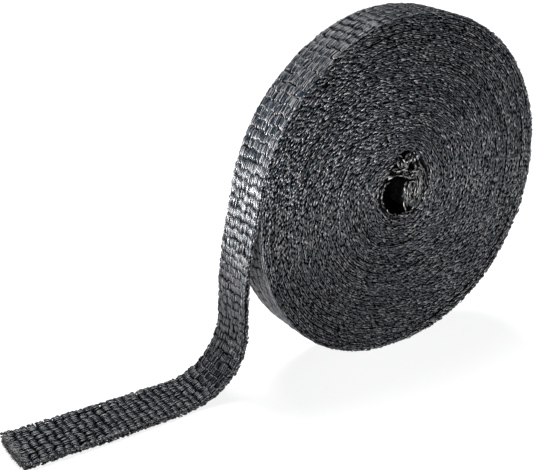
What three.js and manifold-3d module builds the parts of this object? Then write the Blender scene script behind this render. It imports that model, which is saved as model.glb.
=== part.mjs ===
// Exhaust heat wrap: one long woven tape wound into a flat roll. The roll stands on its
// rim, and its free end hangs from the left side, bends and lies along the floor.
// Millimetres, +Z up. The roll's axis runs along Y and the free end lies towards -X.
// The origin is on the floor, straight under the roll's axis.

import * as THREE from 'three';
import { mergeVertices } from 'three/addons/utils/BufferGeometryUtils.js';
import Module from 'manifold-3d';

const wasm = await Module();
wasm.setup();

// The tape
const tapeWidth = 25;
const tapeThickness = 2.58;

// The winding
const coreRadius = 15;
const turnCount = 29;
const turnGroove = 0.6; // depth of the dip between two turns on the roll's ends
const woundTuck = 0.12; // how much less the wound turns stand out than the free tape
const rollRadius = coreRadius + turnCount * tapeThickness;

// The roll's faceting, with one facet straight down
const rollFacets = 36;
const axisHeight = rollRadius * Math.cos(Math.PI / rollFacets);

// The free end
const liftAngle = 165; // degrees round from +X to where the free end starts to lift off
const liftTilt = 3; // degrees by which it turns away from the roll there
const liftSink = 1; // how far its outer face starts below the roll's surface
const hangGap = 5.4; // from the roll's widest point to the middle of the hanging tape
const bendRadius = 29; // at the middle of the tape's thickness
const plumbLength = 19; // straight stretch above the bend
const floorLength = 87; // straight stretch on the floor

// The folded inner end, in the core
const foldOffset = 1.2; // from the roll's axis to the middle of the rising leg
const foldRadius = 3.2; // at the middle of the tape's thickness
const foldClearance = 1.5; // between the fold's crown and the core's wall
const foldReturn = 11; // length of the leg that comes back down

const curveSteps = 6;

// The strip of tape along a path, seen from the front, as a closed outline
function tapeOutline(path) {
  const points = path.getPoints(curveSteps);
  const left = [];
  const right = [];
  points.forEach((point, index) => {
    const before = points[Math.max(index - 1, 0)];
    const after = points[Math.min(index + 1, points.length - 1)];
    const along = after.clone().sub(before).normalize();
    const side = new THREE.Vector2(-along.y, along.x).multiplyScalar(tapeThickness / 2);
    left.push(point.clone().add(side));
    right.unshift(point.clone().sub(side));
  });
  return new THREE.Shape([...left, ...right]);
}

// Tape of full width along a path in the roll's own plane
function tapeAlong(path) {
  const strip = new THREE.ExtrudeGeometry(tapeOutline(path), {
    depth: tapeWidth,
    bevelEnabled: false,
  });
  strip.rotateX(Math.PI / 2);
  strip.translate(0, tapeWidth / 2, 0);
  return strip;
}

// The wound turns: one ring, with a ridge for each turn on both of its ends
function windingGeometry() {
  const ridge = tapeWidth / 2 - woundTuck;
  const groove = ridge - turnGroove;
  const end = [];
  for (let turn = 0; turn < turnCount; turn += 1) {
    const inner = coreRadius + turn * tapeThickness;
    end.push(new THREE.Vector2(inner, groove));
    end.push(new THREE.Vector2(inner + tapeThickness / 2, ridge));
  }
  end.push(new THREE.Vector2(rollRadius, groove));
  const otherEnd = end.map((point) => new THREE.Vector2(point.x, -point.y));
  const profile = [...otherEnd, ...end.reverse(), otherEnd[0]];
  const ring = new THREE.LatheGeometry(profile, rollFacets, Math.PI / rollFacets);
  ring.translate(0, 0, axisHeight);
  return ring;
}

// The free end: it lifts off the roll, hangs plumb, bends and lies on the floor
function freeEndGeometry() {
  const start = THREE.MathUtils.degToRad(liftAngle);
  const heading = start + Math.PI / 2 - THREE.MathUtils.degToRad(liftTilt);
  const startRadius = rollRadius - liftSink - tapeThickness / 2;
  const startX = startRadius * Math.cos(start);
  const startZ = axisHeight + startRadius * Math.sin(start);
  const hangX = -(rollRadius + hangGap);
  const floorZ = tapeThickness / 2;
  const bendTop = floorZ + bendRadius;
  const plumbTop = bendTop + plumbLength;
  const reach = (startZ - plumbTop) / 3;

  const path = new THREE.Path();
  path.moveTo(startX, startZ);
  path.bezierCurveTo(
    startX + reach * Math.cos(heading), startZ + reach * Math.sin(heading),
    hangX, plumbTop + reach,
    hangX, plumbTop,
  );
  path.lineTo(hangX, bendTop);
  path.absarc(hangX - bendRadius, bendTop, bendRadius, 0, -Math.PI / 2, true);
  path.lineTo(hangX - bendRadius - floorLength, floorZ);
  return tapeAlong(path);
}

// The inner end: a leg that rises across the core, folds over and comes back down
function innerFoldGeometry() {
  const crownReach = coreRadius - foldClearance - foldRadius - tapeThickness / 2;
  const crownX = foldOffset + foldRadius;
  const crownZ = axisHeight + Math.sqrt(crownReach ** 2 - crownX ** 2);
  const rootZ = axisHeight - coreRadius - tapeThickness / 2;

  const path = new THREE.Path();
  path.moveTo(foldOffset, rootZ);
  path.lineTo(foldOffset, crownZ);
  path.absarc(crownX, crownZ, foldRadius, Math.PI, 0, true);
  path.lineTo(crownX + foldRadius, crownZ - foldReturn);
  return tapeAlong(path);
}

// A closed geometry as a solid that can be joined
function solidOf(geometry) {
  geometry.deleteAttribute('normal');
  geometry.deleteAttribute('uv');
  const welded = mergeVertices(geometry);
  return new wasm.Manifold(new wasm.Mesh({
    numProp: 3,
    vertProperties: new Float32Array(welded.attributes.position.array),
    triVerts: new Uint32Array(welded.index.array),
  }));
}

// A joined solid as a geometry with flat-shaded faces
function geometryOf(solid) {
  const mesh = solid.getMesh();
  const geometry = new THREE.BufferGeometry();
  geometry.setAttribute('position', new THREE.BufferAttribute(mesh.vertProperties, 3));
  geometry.setIndex(new THREE.BufferAttribute(mesh.triVerts, 1));
  geometry.computeVertexNormals();
  return geometry;
}

function makeTapeRoll() {
  const solid = solidOf(windingGeometry())
    .add(solidOf(freeEndGeometry()))
    .add(solidOf(innerFoldGeometry()));
  const wovenFibre = new THREE.MeshStandardMaterial({
    color: 0x3d3d40,
    roughness: 0.8,
    metalness: 0,
  });
  const roll = new THREE.Mesh(geometryOf(solid), wovenFibre);
  roll.name = 'heat_wrap_tape';
  return roll;
}

const exhaustHeatWrap = new THREE.Group();
exhaustHeatWrap.add(makeTapeRoll());

export default exhaustHeatWrap;
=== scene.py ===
"""Exhaust heat wrap: the woven look of a wound roll of fibre tape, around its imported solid.

The roll stands on its rim with its axis along Y. One tape runs from the folded end in the core,
round the wound turns, off the left side of the roll and along the floor to its cut end. Every
stitch of the weave follows that one path. All lengths are in metres and all angles in degrees.
"""

from __future__ import annotations

import logging
import math
from dataclasses import dataclass, field
from enum import Enum

import bpy
import numpy as np
from mathutils import Matrix, Vector

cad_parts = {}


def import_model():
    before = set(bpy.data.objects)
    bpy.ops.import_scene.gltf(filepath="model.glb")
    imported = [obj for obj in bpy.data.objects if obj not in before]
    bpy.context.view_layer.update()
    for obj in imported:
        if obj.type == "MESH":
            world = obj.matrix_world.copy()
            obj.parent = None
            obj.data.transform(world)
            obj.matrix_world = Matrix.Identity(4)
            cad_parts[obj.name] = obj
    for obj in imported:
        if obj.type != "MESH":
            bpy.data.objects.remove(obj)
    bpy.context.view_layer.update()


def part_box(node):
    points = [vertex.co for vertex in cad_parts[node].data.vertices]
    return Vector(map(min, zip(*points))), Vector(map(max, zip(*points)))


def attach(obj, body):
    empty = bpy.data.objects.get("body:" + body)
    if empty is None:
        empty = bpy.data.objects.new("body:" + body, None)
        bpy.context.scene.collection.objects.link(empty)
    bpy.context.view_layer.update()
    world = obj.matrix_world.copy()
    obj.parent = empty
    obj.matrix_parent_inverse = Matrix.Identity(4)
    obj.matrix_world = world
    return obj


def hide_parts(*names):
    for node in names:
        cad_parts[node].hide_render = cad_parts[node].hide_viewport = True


LOG = logging.getLogger("heat_wrap")
NODE = "heat_wrap_tape"
BODY = "root"
MM = 0.001

Array = np.ndarray


class Edge(Enum):
    """The two long edges of the tape."""

    FRONT = -1
    BACK = 1


class Side(Enum):
    """The two sides of the tape."""

    INWARD = -1
    OUTWARD = 1


@dataclass(frozen=True)
class RollSizes:
    """The driving sizes of the roll and its tape.

    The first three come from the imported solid's box, and the rest are the real object's.
    """

    tape_width: float
    roll_height: float
    reach: float
    turn_pitch: float = 2.58 * MM
    free_thickness: float = 3.7 * MM
    hang_gap: float = 5.4 * MM
    bend_radius: float = 31.0 * MM
    plumb_length: float = 16.0 * MM
    lift_angle: float = 170.5
    core_start_angle: float = 180.0
    whole_turns: int = 28
    core_shift: tuple[float, float] = (-2.4 * MM, 1.0 * MM)
    core_bulge: float = 3.3 * MM
    core_bulge_angle: float = 84.0
    core_bulge_spread: float = 30.0
    core_fade: float = 34.0 * MM
    core_fade_power: float = 1.5
    slack_fade: float = 12.0 * MM
    axis_drop_share: float = 0.10
    floor_lift: float = 0.45 * MM
    cut_overhang: float = 2.5 * MM

    @classmethod
    def from_frame(cls) -> "RollSizes":
        """Reads the tape's width and the roll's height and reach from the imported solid.

        Returns:
            The sizes, with those three set and the rest as they stand.
        """
        low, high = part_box(NODE)
        return cls(tape_width=high.y - low.y, roll_height=high.z, reach=-low.x)

    @property
    def half_thickness(self) -> float:
        """Half of the wound tape's thickness."""
        return self.turn_pitch / 2

    @property
    def axis_height(self) -> float:
        """Height of the roll's axis, where the spiral's lowest point meets the floor."""
        return self.roll_height / 2 - self.axis_drop_share * self.turn_pitch

    @property
    def lift_radius(self) -> float:
        """Radius of the tape's middle where the free end leaves the roll.

        Returns:
            The radius, counted up from the radius that touches the floor.
        """
        turns_past_floor = (self.lift_angle + 90) / 360
        return self.axis_height - self.half_thickness + turns_past_floor * self.turn_pitch


def smooth_noise(along: Array, spacing: float, rng: np.random.Generator) -> Array:
    """Random values that change smoothly along a length.

    Args:
        along: Places along the length, from 0 up.
        spacing: Length from one random value to the next.
        rng: Where the random values come from.

    Returns:
        One value for each place, with a spread of about 1.
    """
    knots = rng.standard_normal(int(along.max() / spacing) + 3)
    place = along / spacing
    index = place.astype(int)
    part = place - index
    blend = part * part * (3 - 2 * part)
    return knots[index] * (1 - blend) + knots[index + 1] * blend


def lengths_along(line: Array) -> Array:
    """The length along a line up to each of its points.

    Args:
        line: The points of the line, one to a row.

    Returns:
        One length for each point, from 0 up.
    """
    gaps = np.linalg.norm(np.diff(line, axis=0), axis=1)
    return np.concatenate([[0], np.cumsum(gaps)])


class TapePath:
    """The middle line of the tape, from its folded inner end to its cut end.

    Places are given by their length along the tape. The height above the tape's middle is
    measured towards the side that faces outwards on the roll.
    """

    STEP = 0.5 * MM
    SMOOTHING = 1.0 * MM
    KNOT_STEPS = 12
    SPIRAL_LEAD = 12
    TURN_STEP = 0.5
    LIFT_POINTS = 100
    HANG_POINTS = 30
    BEND_POINTS = 80
    FLOOR_POINTS = 150
    WANDER_SEED = 11
    RIB_SEED = 5

    # A small ripple in the winding: its height, its waves in a turn, and how much further out
    # it has shifted by a radian
    RIPPLE = 0.12 * MM
    RIPPLE_RATE = 3
    RIPPLE_TWIST = 6 * MM

    # How far the turns stray along the axis, each with the length over which it changes
    SLOW_WANDER = (0.20 * MM, 110 * MM)
    QUICK_WANDER = (0.13 * MM, 34 * MM)
    WANDER_FADE = 12 * MM

    # Where the last turn stands proud of the roll's front: degrees before the lift-off, how
    # far, and over what length
    PROUD = (75, -0.9 * MM, 55 * MM)

    # Where the free end swells past the lift-off, and over what length
    SWELL_START = 40 * MM
    SWELL_LENGTH = 14 * MM

    # The ribs' pitch in the wound turns, what the last turn adds and the free end takes off
    RIB_PITCH = 4.6 * MM
    RIB_STRETCH = 0.3 * MM
    RIB_STRETCH_LENGTH = 30 * MM
    RIB_SHRINK = 1.0 * MM
    RIB_SHRINK_START = 50 * MM
    RIB_SHRINK_LENGTH = 20 * MM
    RIB_STRAY = 0.05
    RIB_STRAY_LENGTH = 9 * MM

    # The inner end and the first turn, as seen from the front with the roll's axis at the
    # origin, in millimetres across and up. The inner end is folded up beside the hole.
    FOLD = (
        (2.5, -10.0), (1.2, -6.5), (0.8, -2.5), (1.0, 1.5), (1.8, 3.7), (3.2, 4.3), (4.7, 2.0),
        (4.9, -1.7), (5.1, -5.4), (6.1, -8.2), (7.7, -9.0), (9.0, -6.4), (9.7, -2.5), (9.6, 0.6),
        (8.6, 4.1), (7.2, 7.4), (6.0, 9.6),
    )
    # The first turn goes over the hole and round it, and has a kink above it.
    FIRST_TURN = (
        (4.7, 8.8), (3.2, 7.6), (-0.4, 9.3), (-4.7, 11.2), (-8.8, 11.4), (-12.5, 10.1),
        (-15.1, 7.5), (-16.6, 3.6), (-16.9, -1.1), (-15.7, -5.3), (-12.9, -9.2), (-9.0, -12.3),
        (-4.7, -14.0), (0.2, -14.2), (5.6, -13.0), (9.8, -9.9), (12.3, -5.0), (13.2, -0.8),
        (12.9, 2.6), (11.4, 6.8), (8.9, 10.0), (6.6, 12.5), (5.4, 14.8), (5.5, 17.2),
        (4.1, 19.2), (2.0, 19.6), (0.2, 17.9), (-1.0, 15.3), (-1.9, 13.5), (-3.2, 13.6),
        (-4.3, 15.6), (-5.5, 18.0), (-7.5, 19.0), (-9.5, 17.7), (-12.2, 15.5), (-14.8, 12.9),
        (-16.9, 9.8), (-18.5, 6.3), (-19.6, 2.4),
    )

    # How far the outer turns stand out from the round, in millimetres, at some angles.
    SLACK = (
        (0, 1.2), (30, 1.2), (45, 1.0), (65, 0.5), (86, 0.6), (106, 0.9), (130, 0.1),
        (190, 0.0), (215, 0.6), (235, 1.2), (252, 0.8), (272, 0.0), (290, 1.4), (310, 2.2),
        (325, 2.1), (340, 1.6),
    )

    # The free end's widening as a share of the width, and its drift towards the back edge in
    # millimetres, each at some lengths past the lift-off in millimetres.
    WIDENING = (
        (0, 0.0), (35, -0.04), (60, -0.05), (85, 0.0), (110, 0.02), (130, 0.09), (210, 0.15),
    )
    DRIFT = ((0, 0.0), (40, 0.5), (85, 0.5), (120, -0.8), (150, -1.8), (210, -2.0))

    def __init__(self, sizes: RollSizes) -> None:
        """Lays the whole path.

        Args:
            sizes: The sizes of the roll and its tape.
        """
        self.sizes = sizes
        wound = self._wound_turns()
        fold = self._fold(wound)
        free = self._free_end(wound)
        self.fold_end = float(lengths_along(fold)[-1])
        self.fold_crown = float(lengths_along(fold)[len(self.FOLD) * self.KNOT_STEPS])
        self.lift_off = float(lengths_along(np.concatenate([fold, wound]))[-1])
        self.last_turn = self.lift_off - 2 * math.pi * sizes.lift_radius
        self.line = self._even_steps(np.concatenate([fold, wound, free]))
        self.along = np.arange(len(self.line)) * self.STEP
        self.length = float(self.along[-1])
        heading = np.gradient(self.line, axis=0)
        heading /= np.linalg.norm(heading, axis=1)[:, None]
        self.outward = np.stack([heading[:, 1], -heading[:, 0]], axis=1)
        self.swell = self._swell()
        self.widening = self._free_end_value(self.WIDENING)
        self.sideways = self._winding_wander() + self._free_end_value(self.DRIFT) * MM
        self.rib_count = self._count_ribs()

    def _wound_turns(self) -> Array:
        """The spiral of wound turns, from the core outwards.

        Returns:
            Its points, across and up.
        """
        size = self.sizes
        sweep = size.lift_angle - size.core_start_angle + 360 * size.whole_turns
        back = np.linspace(sweep, 0, int(sweep / self.TURN_STEP))
        angle = np.radians(size.lift_angle - back)
        radius = size.lift_radius - back / 360 * size.turn_pitch
        fade = np.exp(-((radius - radius[0]) / size.core_fade) ** size.core_fade_power)
        off_bulge = (np.degrees(angle) - size.core_bulge_angle + 180) % 360 - 180
        bulge = size.core_bulge * np.exp(-((off_bulge / size.core_bulge_spread) ** 2))
        radius = radius + bulge * fade
        ripple = np.sin(self.RIPPLE_RATE * angle + radius / self.RIPPLE_TWIST)
        radius = radius + self.RIPPLE * ripple * (1 - fade)
        at, slack = np.array(self.SLACK).T
        slack = np.interp(np.degrees(angle), at, slack * MM, period=360)
        radius = radius + slack * np.exp(-(((size.lift_radius - radius) / size.slack_fade) ** 2))
        across = radius * np.cos(angle) + size.core_shift[0] * fade
        up = radius * np.sin(angle) + size.core_shift[1] * fade
        return np.stack([across, up + size.axis_height], axis=1)

    def _fold(self, wound: Array) -> Array:
        """The folded inner end and the first turn, as a smooth line that runs into the spiral.

        Args:
            wound: The points of the spiral.

        Returns:
            The points of the line.
        """
        knots = np.array(self.FOLD + self.FIRST_TURN) * MM + np.array([0, self.sizes.axis_height])
        knots = np.concatenate([[2 * knots[0] - knots[1]], knots, wound[[0, self.SPIRAL_LEAD]]])
        pieces = []
        for index in range(1, len(knots) - 2):
            before, start, end, after = knots[index - 1 : index + 3]
            part = np.linspace(0, 1, self.KNOT_STEPS, endpoint=False)[:, None]
            pieces.append(
                0.5 * (2 * start + (end - before) * part
                       + (2 * before - 5 * start + 4 * end - after) * part ** 2
                       + (3 * start - before - 3 * end + after) * part ** 3)
            )
        return np.concatenate(pieces)

    def _free_end(self, wound: Array) -> Array:
        """The line where the tape lifts off, hangs, bends and lies on the floor.

        Args:
            wound: The points of the spiral.

        Returns:
            The points of the line, without the spiral's last point.
        """
        size = self.sizes
        start = wound[-1]
        heading = wound[-1] - wound[-3]
        heading /= np.linalg.norm(heading)
        hang_x = -(size.roll_height / 2 + size.hang_gap)
        floor = size.free_thickness / 2 + size.floor_lift
        bend_top = floor + size.bend_radius
        plumb_top = bend_top + size.plumb_length
        reach = (start[1] - plumb_top) / 3
        controls = [start, start + heading * reach,
                    np.array([hang_x, plumb_top + reach]), np.array([hang_x, plumb_top])]
        part = np.linspace(1 / self.LIFT_POINTS, 1, self.LIFT_POINTS)[:, None]
        shares = [(1 - part) ** 3, 3 * part * (1 - part) ** 2, 3 * part ** 2 * (1 - part), part ** 3]
        lift = sum(share * point for share, point in zip(shares, controls))
        hang = np.linspace([hang_x, plumb_top], [hang_x, bend_top], self.HANG_POINTS)[1:]
        angle = np.radians(np.linspace(0, -90, self.BEND_POINTS))[1:]
        middle = np.array([hang_x - size.bend_radius, bend_top])
        bend = middle + size.bend_radius * np.stack([np.cos(angle), np.sin(angle)], axis=1)
        end = [-size.reach - size.cut_overhang, floor]
        lie = np.linspace([middle[0], floor], end, self.FLOOR_POINTS)[1:]
        return np.concatenate([lift, hang, bend, lie])

    def _even_steps(self, line: Array) -> Array:
        """The line in even steps, a little smoothed where its pieces meet.

        Args:
            line: The points of the whole line.

        Returns:
            The even points.
        """
        along = lengths_along(line)
        at = np.arange(0, along[-1], self.STEP)
        even = np.stack([np.interp(at, along, line[:, k]) for k in (0, 1)], axis=1)
        reach = int(3 * self.SMOOTHING / self.STEP)
        weight = np.exp(-0.5 * (np.arange(-reach, reach + 1) * self.STEP / self.SMOOTHING) ** 2)
        weight /= weight.sum()
        before = 2 * even[0] - even[reach:0:-1]
        after = 2 * even[-1] - even[-2 : -reach - 2 : -1]
        padded = np.concatenate([before, even, after])
        return np.stack([np.convolve(padded[:, k], weight, "valid") for k in (0, 1)], axis=1)

    def _rise(self, start: float, length: float) -> Array:
        """A smooth step from 0 to 1 along the tape, or from 1 to 0 for a negative length."""
        return 1 / (1 + np.exp(-(self.along - start) / length))

    def _swell(self) -> Array:
        """How much thicker the tape is than in the wound turns, from 1 up."""
        free = self._rise(self.lift_off + self.SWELL_START, self.SWELL_LENGTH)
        return 1 + (self.sizes.free_thickness / self.sizes.turn_pitch - 1) * free

    def _free_end_value(self, table: tuple[tuple[float, float], ...]) -> Array:
        """A value along the tape that changes only on the free end."""
        past, value = np.array(table).T
        return np.interp(self.along, self.lift_off + past * MM, value)

    def _winding_wander(self) -> Array:
        """How far the tape's middle strays along the roll's axis.

        Returns:
            One distance for each place along the tape, towards the back edge.
        """
        rng = np.random.default_rng(self.WANDER_SEED)
        wander = np.zeros_like(self.along)
        for height, length in (self.SLOW_WANDER, self.QUICK_WANDER):
            wander += height * smooth_noise(self.along, length, rng)
        angle, height, length = self.PROUD
        middle = self.lift_off - math.radians(angle) * self.sizes.lift_radius
        proud = height * np.exp(-(((self.along - middle) / length) ** 2))
        return wander * self._rise(self.lift_off, -self.WANDER_FADE) + proud

    def _count_ribs(self) -> Array:
        """Number of ribs of the weave up to each place along the tape.

        Returns:
            One number for each place, with its fraction.
        """
        stretched = self._rise(self.last_turn, self.RIB_STRETCH_LENGTH)
        free = self._rise(self.lift_off + self.RIB_SHRINK_START, self.RIB_SHRINK_LENGTH)
        pitch = self.RIB_PITCH + self.RIB_STRETCH * stretched - self.RIB_SHRINK * free
        rng = np.random.default_rng(self.RIB_SEED)
        pitch = pitch * (1 + self.RIB_STRAY * smooth_noise(self.along, self.RIB_STRAY_LENGTH, rng))
        return np.cumsum(self.STEP / pitch)

    def ribs_at(self, along: float) -> float:
        """The rib number at a place along the tape."""
        return float(np.interp(along, self.along, self.rib_count))

    def swell_at(self, rib: Array) -> Array:
        """How much thicker the tape is at some rib numbers than in the wound turns."""
        return np.interp(rib, self.rib_count, self.swell)

    def place(self, rib: Array, across: Array, height: Array) -> tuple[Array, Array]:
        """Turns places in the weave into points in space.

        Args:
            rib: Rib numbers along the tape.
            across: Distance from the tape's middle towards its back edge.
            height: Distance outwards from the tape's middle, before the tape's swelling.

        Returns:
            The points, and the outward directions there.
        """
        along = np.interp(rib, self.rib_count, self.along)
        x, z = (np.interp(along, self.along, self.line[:, k]) for k in (0, 1))
        out_x, out_z = (np.interp(along, self.along, self.outward[:, k]) for k in (0, 1))
        side = np.interp(along, self.along, self.sideways)
        widened = across * (1 + np.interp(along, self.along, self.widening))
        lift = height * np.interp(along, self.along, self.swell)
        points = np.stack([x + out_x * lift, side + widened, z + out_z * lift], axis=-1)
        outward = np.stack([out_x, np.zeros_like(out_x), out_z], axis=-1)
        return points, outward


class MeshBuilder:
    """Collects closed tubes of four-sided faces into one mesh."""

    SHADES = 64
    START_STRAY = 0.5
    MAP_FILL = 0.98
    MAP_EDGE = 0.01

    def __init__(self, name: str) -> None:
        """Starts an empty mesh.

        Args:
            name: The name of the piece.
        """
        self.name = name
        self._points: list[Array] = []
        self._faces: list[Array] = []
        self._maps: list[Array] = []
        self._count = 0
        self._tubes = 0

    def add_tubes(
        self, middles: Array, outward: Array, half_width: Array, half_depth: Array, sides: int,
        seed: int,
    ) -> None:
        """Adds closed tubes with an oval section.

        Args:
            middles: Points down each tube's middle, as tubes by rings by 3.
            outward: Unit directions of the section's depth, in the same form.
            half_width: Half widths, as tubes by rings.
            half_depth: Half depths, as tubes by rings.
            sides: Number of faces round each tube, an even number.
            seed: Seed of each tube's own shade.
        """
        tubes, rings = middles.shape[:2]
        heading = np.gradient(middles, axis=1)
        sideways = np.cross(outward, heading)
        sideways /= np.linalg.norm(sideways, axis=2)[..., None]
        turn = 2 * math.pi * (np.arange(sides) + 0.5) / sides
        wide = sideways[:, :, None] * (half_width[:, :, None] * np.cos(turn))[..., None]
        deep = outward[:, :, None] * (half_depth[:, :, None] * np.sin(turn))[..., None]
        points = middles[:, :, None] + wide + deep
        number = np.arange(tubes * rings * sides).reshape(tubes, rings, sides) + self._count
        near, far = number[:, :-1], number[:, 1:]
        quads = np.stack([near, np.roll(near, -1, 2), np.roll(far, -1, 2), far], axis=-1)
        shade = np.random.default_rng(seed).integers(0, self.SHADES, tubes)
        steps = np.linalg.norm(np.diff(middles, axis=1), axis=2)
        along = np.concatenate([np.zeros((tubes, 1)), np.cumsum(steps, axis=1)], axis=1)
        starts = np.random.default_rng(seed + 1).random((tubes, 1))
        along += starts * self.START_STRAY
        self._points.append(points.reshape(-1, 3))
        self._faces.append(quads.reshape(-1, 4))
        self._maps.append(self._wall_map(along, shade, sides))
        for ring, order in ((0, -1), (rings - 1, 1)):
            for corner in range(1, sides - 2, 2):
                cap = number[:, ring][:, [0, corner, corner + 1, corner + 2]][:, ::order]
                self._faces.append(cap)
                flat = np.stack([along[:, ring], shade + 0.5], axis=-1)
                self._maps.append(np.repeat(flat[:, None], 4, axis=1).reshape(-1, 2))
        self._count += tubes * rings * sides
        self._tubes += tubes

    def _wall_map(self, along: Array, shade: Array, sides: int) -> Array:
        """The map of the tubes' walls: place along the strand, and shade number plus turn.

        Args:
            along: Lengths along each tube, as tubes by rings.
            shade: Shade number of each tube.
            sides: Number of faces round each tube.

        Returns:
            The map's two values for each corner of each face.
        """
        tubes, rings = along.shape
        turn = np.arange(sides)[None, None, :] / sides * self.MAP_FILL + self.MAP_EDGE
        left = np.broadcast_to(shade[:, None, None] + turn, (tubes, rings - 1, sides))
        right = left + self.MAP_FILL / sides
        near = np.broadcast_to(along[:, :-1, None], left.shape)
        far = np.broadcast_to(along[:, 1:, None], left.shape)
        corners = [
            np.stack([near, left], -1), np.stack([near, right], -1),
            np.stack([far, right], -1), np.stack([far, left], -1),
        ]
        return np.stack(corners, axis=3).reshape(-1, 2)

    def build(self, material: bpy.types.Material) -> bpy.types.Object:
        """Makes the object.

        Args:
            material: The finish that all of the piece wears.

        Returns:
            The new object, at the origin.
        """
        points = np.concatenate(self._points).astype(np.float32)
        faces = np.concatenate(self._faces).astype(np.int32)
        places = np.concatenate(self._maps).astype(np.float32)
        mesh = bpy.data.meshes.new(self.name)
        mesh.vertices.add(len(points))
        mesh.vertices.foreach_set("co", points.ravel())
        mesh.loops.add(faces.size)
        mesh.loops.foreach_set("vertex_index", faces.ravel())
        mesh.polygons.add(len(faces))
        mesh.polygons.foreach_set("loop_start", np.arange(0, faces.size, 4, dtype=np.int32))
        mesh.update(calc_edges=True)
        mesh.uv_layers.new(name="strand").data.foreach_set("uv", places.ravel())
        mesh.validate()
        mesh.shade_smooth()
        mesh.materials.append(material)
        piece = bpy.data.objects.new(self.name, mesh)
        bpy.context.scene.collection.objects.link(piece)
        LOG.info("%s: %d strands, %d faces", self.name, self._tubes, len(faces))
        return piece


@dataclass(frozen=True)
class FibreFinish:
    """Dark mineral fibre: fine lines along each strand, with a silky gloss."""

    name: str = "graphite_fibre"
    dark: tuple[float, float, float] = (0.003, 0.006, 0.009)
    middle: tuple[float, float, float] = (0.009, 0.018, 0.029)
    light: tuple[float, float, float] = (0.20, 0.19, 0.19)
    roughness: float = 0.36
    gloss: float = 0.9
    anisotropy: float = 0.5
    anisotropy_turn: float = 0.25
    lines_per_turn: float = 4.0
    line_length: float = 5.0 * MM
    line_depth: float = 0.12 * MM
    line_strength: float = 0.8
    shade_length: float = 20.0 * MM
    shades_per_turn: float = 0.93
    dark_up_to: float = 0.15
    middle_at: float = 0.27
    light_from: float = 0.35

    def _noise(self, tree: bpy.types.NodeTree, uv: bpy.types.NodeSocket, along: float,
               around: float) -> bpy.types.NodeSocket:
        """A stretched noise over the strands' map.

        Args:
            tree: The material's nodes.
            uv: The map's socket.
            along: Noise steps in a metre of strand.
            around: Noise steps in a turn round the strand.

        Returns:
            The noise's socket.
        """
        stretch = tree.nodes.new("ShaderNodeMapping")
        stretch.inputs["Scale"].default_value = (along, around, 1)
        tree.links.new(uv, stretch.inputs["Vector"])
        noise = tree.nodes.new("ShaderNodeTexNoise")
        noise.noise_dimensions = "2D"
        noise.inputs["Scale"].default_value = 1.0
        tree.links.new(stretch.outputs["Vector"], noise.inputs["Vector"])
        return noise.outputs["Fac"]

    def material(self) -> bpy.types.Material:
        """Builds the node material.

        Returns:
            The material.
        """
        made = bpy.data.materials.new(self.name)
        made.use_nodes = True
        tree = made.node_tree
        shader = tree.nodes["Principled BSDF"]
        shader.inputs["Roughness"].default_value = self.roughness
        shader.inputs["Specular IOR Level"].default_value = self.gloss
        shader.inputs["Anisotropic"].default_value = self.anisotropy
        shader.inputs["Anisotropic Rotation"].default_value = self.anisotropy_turn
        tangent = tree.nodes.new("ShaderNodeTangent")
        tangent.direction_type = "UV_MAP"
        tangent.uv_map = "strand"
        tree.links.new(tangent.outputs["Tangent"], shader.inputs["Tangent"])

        place = tree.nodes.new("ShaderNodeUVMap")
        place.uv_map = "strand"
        lines = self._noise(tree, place.outputs["UV"], 1 / self.line_length, self.lines_per_turn)
        strands = self._noise(tree, place.outputs["UV"], 1 / self.shade_length,
                              self.shades_per_turn)
        mix = tree.nodes.new("ShaderNodeMath")
        mix.operation = "MULTIPLY"
        tree.links.new(lines, mix.inputs[0])
        tree.links.new(strands, mix.inputs[1])
        ramp = tree.nodes.new("ShaderNodeValToRGB")
        ramp.color_ramp.elements[0].position = self.dark_up_to
        ramp.color_ramp.elements[0].color = (*self.dark, 1)
        ramp.color_ramp.elements[1].position = self.light_from
        ramp.color_ramp.elements[1].color = (*self.light, 1)
        ramp.color_ramp.elements.new(self.middle_at).color = (*self.middle, 1)
        tree.links.new(mix.outputs["Value"], ramp.inputs["Fac"])
        tree.links.new(ramp.outputs["Color"], shader.inputs["Base Color"])

        bump = tree.nodes.new("ShaderNodeBump")
        bump.inputs["Strength"].default_value = self.line_strength
        bump.inputs["Distance"].default_value = self.line_depth
        tree.links.new(lines, bump.inputs["Height"])
        tree.links.new(bump.outputs["Normal"], shader.inputs["Normal"])
        return made


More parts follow.
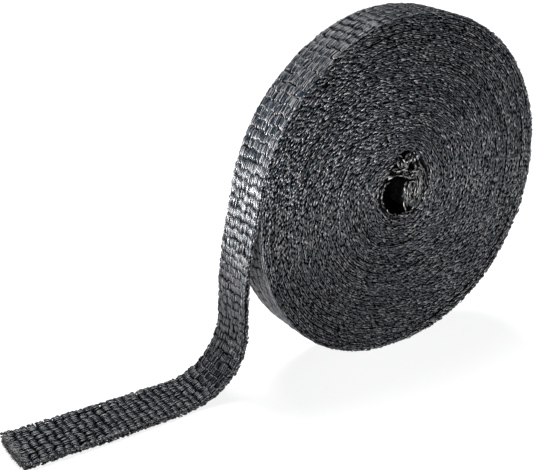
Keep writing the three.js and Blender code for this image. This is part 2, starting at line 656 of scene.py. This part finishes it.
@dataclass(frozen=True)
class Weave:
    """The weave of the tape: a float over each rib, in bundles of four strands."""

    bundles: int = 6
    strands: int = 4
    edge_margin: float = 0.45 * MM
    float_top: float = 0.88 * MM
    float_rings: tuple[float, ...] = (-1.0, -0.8, -0.45, 0.45, 0.8, 1.0)
    float_rises: tuple[float, ...] = (0.36, 0.92, 1.0, 1.0, 0.92, 0.36)
    float_reach: float = 0.50
    stagger: float = 0.08
    long_sway: float = 0.07
    long_rates: tuple[float, float] = (0.9, 0.7)
    short_sway: float = 0.04
    short_rates: tuple[float, float] = (2.3, 1.0)
    strand_gap: float = 0.80 * MM
    half_width: float = 0.37 * MM
    half_depth: float = 0.45 * MM
    tip: float = 0.70
    pinch: float = 0.86
    swell_power: float = 0.5
    crown: float = 0.10 * MM
    rise_stray: float = 0.05 * MM
    slant_stray: float = 0.16 * MM
    strand_stray: float = 0.10 * MM
    size_stray: float = 0.10
    reach_stray: float = 0.06
    place_stray: float = 0.04
    front_rows: tuple[float, ...] = (-0.82 * MM, 0.0, 0.82 * MM)
    back_rows: tuple[float, ...] = (-0.62 * MM, 0.62 * MM)
    fold_rows: tuple[float, ...] = (-1.7 * MM, -0.85 * MM, 0.0, 0.85 * MM, 1.7 * MM)

    def bundle_place(self, bundle: Array, width: float) -> Array:
        """Where the middle of a bundle lies across the tape."""
        span = width - 2 * self.edge_margin
        return span * ((bundle + 0.5) / self.bundles - 0.5)


@dataclass(frozen=True)
class EdgeStitch:
    """The short stitches over the tape's edges, with places along the tape in ribs."""

    pitch: float = 0.5
    row_stagger: float = 0.17
    place_stray: float = 0.10
    reach: float = 0.28
    reach_stray: float = 0.2
    half_width: float = 0.40 * MM
    row_fill: float = 0.45
    tip: float = 0.40
    size_stray: float = 0.15
    bow: float = 0.20 * MM
    tuck: float = 0.10 * MM
    tuck_stray: float = 0.12 * MM
    sink: float = 0.30 * MM
    depth_stray: float = 0.22 * MM
    lean: float = 0.10 * MM
    lean_stray: float = 0.12 * MM
    drift: float = 0.12 * MM
    drift_ribs: float = 3.0
    drift_stray: float = 0.08 * MM


@dataclass
class WovenTape:
    """Builds stretches of the woven tape along its path."""

    FLOAT_SHADES = 7
    STITCH_SHADES = 50

    path: TapePath
    weave: Weave
    stitch: EdgeStitch
    finish: bpy.types.Material
    pieces: list[bpy.types.Object] = field(default_factory=list)

    @staticmethod
    def _wave(rib: Array, bundle: Array, rates: tuple[float, float]) -> Array:
        """A wave over the ribs and bundles, from -1 to 1."""
        return np.sin(rates[0] * rib + rates[1] * bundle)

    def add_floats(
        self, builder: MeshBuilder, side: Side, start: float, stop: float, sides: int, seed: int,
    ) -> None:
        """Adds the floats that show on one side of the tape, between two rib numbers.

        Args:
            builder: The mesh that takes them.
            side: The side that they show on.
            start: The first rib number.
            stop: The last rib number.
            sides: Faces round each strand.
            seed: Seed of the small unevenness.
        """
        weave = self.weave
        rng = np.random.default_rng(seed)
        ribs = np.arange(math.ceil(start), math.floor(stop) + 1)
        rib, bundle = (grid.ravel() for grid in np.meshgrid(ribs, np.arange(weave.bundles)))
        middle = weave.bundle_place(bundle, self.path.sizes.tape_width)
        bundle_height = rng.standard_normal(len(rib))[:, None, None]
        bundle_slant = rng.standard_normal(len(rib))[:, None, None]
        sway = weave.long_sway * self._wave(rib, bundle, weave.long_rates)
        sway = sway + weave.short_sway * self._wave(rib, bundle, weave.short_rates)
        sway = sway + weave.stagger * np.where(bundle % 2 == 0, 1, -1)
        part = np.array(weave.float_rings)[None, None, :]
        offset = np.linspace(-1, 1, weave.strands)[None, :, None]
        stray = rng.standard_normal((len(rib), weave.strands, 1))
        rise = np.array(weave.float_rises)[None, None, :]
        height = weave.float_top * rise
        uneven = weave.rise_stray * bundle_height + weave.strand_stray * stray
        height = height + (uneven - weave.crown * offset ** 2) * rise
        spread = weave.pinch + (1 - weave.pinch) * (1 - part ** 2)
        across = middle[:, None, None] + 2 * offset * weave.strand_gap * spread
        across = across + (weave.slant_stray * bundle_slant + weave.strand_stray * stray) * part
        reach = weave.float_reach * (1 + weave.reach_stray * stray)
        ribs_out = (rib + sway)[:, None, None] + reach * part + weave.place_stray * stray
        shape = np.broadcast_shapes(ribs_out.shape, across.shape, height.shape)
        flat = (-1, shape[-1])
        middles, outward = self.path.place(
            np.broadcast_to(ribs_out, shape).reshape(flat),
            np.broadcast_to(across, shape).reshape(flat),
            side.value * np.broadcast_to(height, shape).reshape(flat))
        thick = weave.tip + (1 - weave.tip) * (1 - part ** 2) + weave.size_stray * stray
        thick = np.broadcast_to(thick, shape).reshape(flat)
        swell = self.path.swell_at(np.broadcast_to(ribs_out, shape).reshape(flat))
        thick = thick * swell ** weave.swell_power
        builder.add_tubes(middles, outward, weave.half_width * thick, weave.half_depth * thick,
                          sides, seed + self.FLOAT_SHADES)

    def add_edge_stitches(
        self, builder: MeshBuilder, edge: Edge, start: float, stop: float, sides: int, seed: int,
        mess: float = 1.0, rows: tuple[float, ...] | None = None,
    ) -> None:
        """Adds the short stitches that cover an edge of the tape, in a few rows.

        Args:
            builder: The mesh that takes them.
            edge: The edge that they lie on.
            start: The first rib number.
            stop: The last rib number.
            sides: Faces round each stitch.
            seed: Seed of the small unevenness.
            mess: How much more uneven the stitches lie than on the wound turns.
            rows: Heights of the rows, if not those of the edge.
        """
        weave, stitch = self.weave, self.stitch
        rng = np.random.default_rng(seed)
        rim = self.path.sizes.tape_width / 2 - stitch.half_width
        rows = rows or (weave.front_rows if edge is Edge.FRONT else weave.back_rows)
        half_depth = stitch.row_fill * abs(rows[1] - rows[0])
        part = np.array([[-1.0, 0.0, 1.0]])
        for row, row_height in enumerate(rows):
            rib = np.arange(start, stop, stitch.pitch)[:, None] + stitch.row_stagger * row
            each = (len(rib), 1)
            rib = rib + stitch.place_stray * rng.standard_normal(each)
            reach = stitch.reach * (1 + stitch.reach_stray * rng.standard_normal(each))
            tuck = (stitch.tuck + stitch.tuck_stray * rng.standard_normal(each)) * part
            bow = stitch.bow * (1 - part ** 2)
            depth = stitch.depth_stray * mess * rng.standard_normal(each)
            depth = depth - stitch.sink * mess + bow - tuck
            lean = (stitch.lean + stitch.lean_stray * mess * rng.standard_normal(each)) * part
            drift = stitch.drift * smooth_noise(rib - rib.min(), stitch.drift_ribs, rng)
            drift = drift + stitch.drift_stray * rng.standard_normal(each)
            rise = row_height + lean + drift
            middles, outward = self.path.place(rib + reach * part, edge.value * (rim + depth), rise)
            thick = stitch.tip + (1 - stitch.tip) * (1 - part ** 2)
            thick = thick * (1 + stitch.size_stray * rng.standard_normal(each))
            thick = thick * self.path.swell_at(rib)
            builder.add_tubes(middles, outward, stitch.half_width * thick,
                              half_depth * thick, sides, seed + self.STITCH_SHADES + row)

    def finish_piece(
        self, builder: MeshBuilder, finish: bpy.types.Material | None = None,
    ) -> bpy.types.Object:
        """Makes a piece and ties it to the frame.

        Args:
            builder: The mesh, with all of its tubes.
            finish: The piece's finish, if not the tape's.

        Returns:
            The piece.
        """
        piece = builder.build(finish or self.finish)
        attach(piece, BODY)
        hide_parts(NODE)
        self.pieces.append(piece)
        return piece


@dataclass
class WoundTurns:
    """The turns under the last one, of which only the two edges show."""

    tape: WovenTape
    pieces: int = 4

    def build(self) -> None:
        """Builds the wound turns as a few pieces of like size."""
        path = self.tape.path
        first, last = path.ribs_at(path.fold_end) - 3, path.ribs_at(path.last_turn)
        bounds = np.linspace(first, last, self.pieces + 1)
        for index in range(self.pieces):
            builder = MeshBuilder(f"wound_turns_{index + 1}")
            for edge in Edge:
                self.tape.add_edge_stitches(builder, edge, bounds[index], bounds[index + 1], 4,
                                            200 + 10 * index + edge.value)
            self.tape.finish_piece(builder)


@dataclass
class OuterTurn:
    """The last turn, which shows its whole width."""

    tape: WovenTape

    def build(self) -> None:
        """Builds the last turn."""
        path = self.tape.path
        start, stop = path.ribs_at(path.last_turn), math.floor(path.ribs_at(path.lift_off)) - 1
        builder = MeshBuilder("outer_turn")
        self.tape.add_floats(builder, Side.OUTWARD, start - 3, stop, 4, 300)
        for edge in Edge:
            self.tape.add_edge_stitches(builder, edge, start, stop, 4, 310 + edge.value)
        self.tape.finish_piece(builder)


@dataclass
class FreeEnd:
    """The end of the tape that hangs, bends and lies on the floor."""

    tape: WovenTape

    def build(self) -> None:
        """Builds the free end."""
        path = self.tape.path
        start, stop = math.floor(path.ribs_at(path.lift_off)), path.rib_count[-1] - 1.1
        builder = MeshBuilder("free_end")
        for side in Side:
            self.tape.add_floats(builder, side, start, stop, 4, 400 + side.value)
        for edge in Edge:
            self.tape.add_edge_stitches(builder, edge, start - 1, stop + 0.4, 6, 410 + edge.value)
        self.tape.finish_piece(builder)


@dataclass
class CutEnd:
    """The frayed fibres across the cut end of the tape."""

    tape: WovenTape
    columns: int = 64
    layers: int = 5
    corner: float = 0.85
    corner_power: float = 6
    start_before_end: float = 1.25
    reach: float = 0.95
    reach_stray: float = 0.07
    layer_recess: float = 0.08
    edge_inset: float = 0.5 * MM
    layer_height: float = 0.98 * MM
    side_thinning: float = 0.25
    root_stray: float = 0.20 * MM
    tip_stray: float = 0.30 * MM
    root_lift: float = 0.08 * MM
    tip_lift: float = 0.16 * MM
    half_width: float = 0.28 * MM
    taper: float = 0.45
    seed: int = 600

    def build(self, finish: bpy.types.Material) -> None:
        """Builds the frayed fibres.

        Args:
            finish: The finish of the frayed fibres.
        """
        path = self.tape.path
        rng = np.random.default_rng(self.seed)
        start = path.rib_count[-1] - self.start_before_end
        column, layer = (grid.ravel() for grid in np.meshgrid(
            np.linspace(-1, 1, self.columns), np.linspace(-1, 1, self.layers)))
        stray = rng.standard_normal((5, len(column), 1))
        column, layer = column[:, None], layer[:, None]
        part = np.linspace(0, 1, 4)[None]
        rounding = self.corner * np.abs(column) ** self.corner_power
        length = self.reach + self.reach_stray * stray[0] - rounding
        length = length - self.layer_recess * layer ** 2
        rib = start + length * part
        across = column * (path.sizes.tape_width / 2 - self.edge_inset)
        across = across + self.root_stray * stray[1] + self.tip_stray * stray[2] * part ** 2
        height = layer * self.layer_height * (1 - self.side_thinning * column ** 4)
        height = height + self.root_lift * stray[3] + self.tip_lift * stray[4] * part ** 2
        middles, outward = path.place(rib, across, height)
        half_width = self.half_width * np.broadcast_to(1 - self.taper * part, rib.shape)
        builder = MeshBuilder("cut_end")
        builder.add_tubes(middles, outward, half_width, half_width, 4, self.seed + 1)
        self.tape.finish_piece(builder, finish)


@dataclass
class FoldedEnd:
    """The inner end of the tape, folded over in the core."""

    tape: WovenTape
    first_rib: float = 0.7
    mess: float = 2.2

    def build(self, finish: bpy.types.Material) -> None:
        """Builds the folded end.

        Args:
            finish: The finish of the crumpled strands.
        """
        path = self.tape.path
        start, stop = self.first_rib, path.ribs_at(path.fold_end)
        builder = MeshBuilder("folded_end")
        self.tape.add_floats(builder, Side.OUTWARD, start, path.ribs_at(path.fold_crown), 4, 501)
        for edge in Edge:
            self.tape.add_edge_stitches(builder, edge, start - 0.4, stop - 2, 4, 510 + edge.value,
                                        mess=self.mess, rows=self.tape.weave.fold_rows)
        self.tape.finish_piece(builder, finish)

    def build_lining(self, finish: bpy.types.Material) -> None:
        """Builds the strands that line the hole in the core, painted near black as the hole's shade.

        Args:
            finish: The near-black finish that paints shade on the strands that no light reaches.
        """
        path = self.tape.path
        builder = MeshBuilder("core_lining")
        stop = path.ribs_at(path.fold_end)
        self.tape.add_floats(builder, Side.INWARD, self.first_rib, stop, 4, 520)
        self.tape.finish_piece(builder, finish)


@dataclass
class GroundCloth:
    """The cross threads within the tape, as one cloth for its whole length, painted near black as
    the shade between the strands.
    """

    tape: WovenTape
    edge_gap: float = 0.75 * MM
    wound_half_depth: float = 1.45 * MM
    core_half_depth: float = 1.05 * MM
    loose_half_depth: float = 0.42 * MM

    def build(self, finish: bpy.types.Material) -> bpy.types.Object:
        """Builds the cloth, thick in the wound turns and thin where both sides show.

        Args:
            finish: The near-black finish of the cross threads, which paints the shade between the
                strands.

        Returns:
            The cloth.
        """
        path = self.tape.path
        ribs = np.arange(1, math.floor(path.rib_count[-1] * 2) - 1)[None] / 2
        flat = np.zeros_like(ribs)
        middles, outward = path.place(ribs, flat, flat)
        along = np.interp(ribs, path.rib_count, path.along)
        round_hole = (along > path.fold_crown) & (along <= path.fold_end)
        wound = (along > path.fold_end) & (along < path.last_turn)
        deep = np.select([round_hole, wound], [self.core_half_depth, self.wound_half_depth],
                         self.loose_half_depth)
        wide = np.full_like(deep, path.sizes.tape_width / 2 - self.edge_gap)
        builder = MeshBuilder("ground_cloth")
        corner = math.sqrt(2)
        builder.add_tubes(middles, outward, wide * corner, deep * corner, 4, 1)
        return self.tape.finish_piece(builder, finish)


@dataclass(frozen=True)
class FloorPaint:
    """A pale, dull floor that is bright enough to pass into the background."""

    name: str = "pale_floor"
    grey: float = 0.35
    roughness: float = 0.9
    gloss: float = 0.1
    glow: float = 0.85

    def material(self) -> bpy.types.Material:
        """Builds the material.

        Returns:
            The material.
        """
        made = bpy.data.materials.new(self.name)
        made.use_nodes = True
        shader = made.node_tree.nodes["Principled BSDF"]
        shader.inputs["Base Color"].default_value = (self.grey, self.grey, self.grey, 1)
        shader.inputs["Roughness"].default_value = self.roughness
        shader.inputs["Specular IOR Level"].default_value = self.gloss
        shader.inputs["Emission Color"].default_value = (1, 1, 1, 1)
        shader.inputs["Emission Strength"].default_value = self.glow
        return made


@dataclass
class Studio:
    """The pale floor, the soft lights and the camera."""

    sizes: RollSizes
    azimuth: float = 42.37
    elevation: float = 20.53
    distance: float = 0.5389
    aim: tuple[float, float] = (-0.0771, -0.0123)
    lean: float = 2.36
    lens: float = 69.8
    floor_size: float = 8.0
    near_clip: float = 0.01
    softbox_aim: tuple[float, float, float] = (-0.03, 0, 0.08)
    spot_edge: float = 0.5
    spot_radius: float = 0.04
    sky_tint: tuple[float, float, float] = (0.78, 0.90, 1)
    sky_strength: float = 0.13

    def camera(self) -> None:
        """Places the camera where the photograph was taken from."""
        axis = Vector((0, 0, self.sizes.roll_height / 2))
        turn, rise = math.radians(self.azimuth), math.radians(self.elevation)
        back = Vector((-math.sin(turn) * math.cos(rise), -math.cos(turn) * math.cos(rise),
                       math.sin(rise)))
        eye = axis + back * self.distance
        aim = axis + Vector((self.aim[0], 0, self.aim[1]))
        data = bpy.data.cameras.new("camera")
        data.lens = self.lens
        data.clip_start = self.near_clip
        camera = bpy.data.objects.new("camera", data)
        bpy.context.scene.collection.objects.link(camera)
        look = (aim - eye).to_track_quat("-Z", "Y").to_matrix().to_4x4()
        camera.matrix_world = (
            Matrix.Translation(eye) @ look @ Matrix.Rotation(math.radians(self.lean), 4, "Z"))
        bpy.context.scene.camera = camera

    def floor(self) -> None:
        """Lays the plain pale floor."""
        bpy.ops.mesh.primitive_plane_add(size=self.floor_size, location=(0, 0, 0))
        floor = bpy.context.active_object
        floor.name = "floor"
        floor.data.materials.append(FloorPaint().material())

    def softbox(self, name: str, place: Vector, size: tuple[float, float], power: float) -> None:
        """Adds a soft area lamp that points at the roll.

        Args:
            name: The lamp's name.
            place: Where it stands.
            size: Its width and height.
            power: Its power in watts.
        """
        data = bpy.data.lights.new(name, "AREA")
        data.shape = "RECTANGLE"
        data.size, data.size_y = size
        data.energy = power
        self.put(data, place, Vector(self.softbox_aim))

    def spot(self, name: str, place: Vector, aim: Vector, spread: float, power: float) -> None:
        """Adds a lamp with a soft-edged cone of light.

        Args:
            name: The lamp's name.
            place: Where it stands.
            aim: What it points at.
            spread: The cone's full angle in degrees.
            power: Its power in watts.
        """
        data = bpy.data.lights.new(name, "SPOT")
        data.spot_size = math.radians(spread)
        data.spot_blend = self.spot_edge
        data.shadow_soft_size = self.spot_radius
        data.energy = power
        self.put(data, place, aim)

    @staticmethod
    def put(data: bpy.types.Light, place: Vector, aim: Vector) -> None:
        """Stands a lamp at a place and points it at another.

        Args:
            data: The lamp.
            place: Where it stands.
            aim: What it points at.
        """
        lamp = bpy.data.objects.new(data.name, data)
        bpy.context.scene.collection.objects.link(lamp)
        lamp.matrix_world = (
            Matrix.Translation(place) @ (aim - place).to_track_quat("-Z", "Y").to_matrix().to_4x4())

    def lights(self) -> None:
        """Sets up the soft studio light."""
        self.spot("left_spot", place=Vector((-0.56, -0.10, 0.03)),
                  aim=Vector((-0.01, 0, 0.128)), spread=13, power=50)
        self.spot("face_spot", place=Vector((-0.7, -0.5, 0.1)),
                  aim=Vector((0.044, -0.012, 0.022)), spread=12, power=33)
        self.softbox("top_softbox", place=Vector((0.1, 0.6, 1.5)), size=(0.8, 0.8), power=33)
        world = bpy.data.worlds.new("studio")
        world.use_nodes = True
        background = world.node_tree.nodes["Background"]
        background.inputs["Color"].default_value = (*self.sky_tint, 1)
        background.inputs["Strength"].default_value = self.sky_strength
        bpy.context.scene.world = world
        bpy.context.scene.view_settings.view_transform = "Standard"


def main() -> None:
    """Builds the studio and the tape, and notes the sizes."""
    logging.basicConfig(level=logging.INFO, format="%(name)s: %(message)s")
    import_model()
    sizes = RollSizes.from_frame()
    studio = Studio(sizes)
    studio.camera()
    path = TapePath(sizes)
    LOG.info("tape length %.3f m, %d ribs", path.length, path.rib_count[-1])
    tape = WovenTape(path, Weave(), EdgeStitch(), FibreFinish().material())
    WoundTurns(tape).build()
    OuterTurn(tape).build()
    FreeEnd(tape).build()
    # Painted shade: a near-black finish for the hole's lining and the cross threads, standing in for
    # the shade that falls there on grey fibre.
    painted_shade_finish = FibreFinish(name="graphite_painted_shade", dark=(0.001,) * 3, middle=(0.002,) * 3,
                         light=(0.006,) * 3, gloss=0.04, roughness=0.8).material()
    frayed = FibreFinish(name="graphite_frayed", middle=(0.030, 0.033, 0.037),
                         light=(0.42, 0.40, 0.39)).material()
    CutEnd(tape).build(frayed)
    folded = FoldedEnd(tape)
    folded.build(frayed)
    folded.build_lining(painted_shade_finish)
    cloth = GroundCloth(tape).build(painted_shade_finish)
    bpy.ops.object.select_all(action="DESELECT")
    studio.floor()
    studio.lights()


if __name__ == "__main__":
    main()
